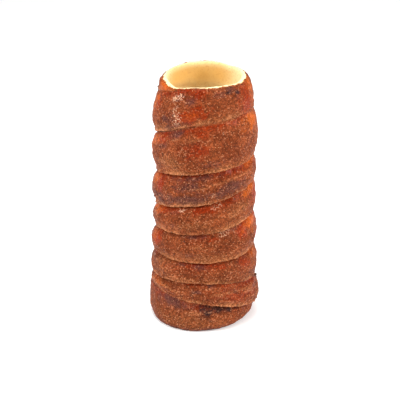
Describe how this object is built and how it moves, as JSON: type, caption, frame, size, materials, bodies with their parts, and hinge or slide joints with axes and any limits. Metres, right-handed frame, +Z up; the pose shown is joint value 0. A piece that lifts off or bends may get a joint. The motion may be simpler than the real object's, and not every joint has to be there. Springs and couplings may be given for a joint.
{
  "type": "chimney cake",
  "caption": "Hollow sweet loaf baked from a dough strip wound in a spiral round a tapered spit, with a caramelised sugar crust and an open bore.",
  "frame": {"origin": "centre of the box round the loaf, on the plane of its foot", "axes": "+Z up along the bore, -Y towards the front, +X to the right of the front; the dough strip climbs to the right as seen from any side"},
  "size_m": [0.1042, 0.1046, 0.2425],
  "materials": {
    "sugar_crust": "baked sweet dough, its outside coated in caramelised sugar grains, its bore bare pale crumb"
  },
  "bodies": {
    "root": {"chimney_cake": "sugar_crust"}
  },
  "joints": []
}
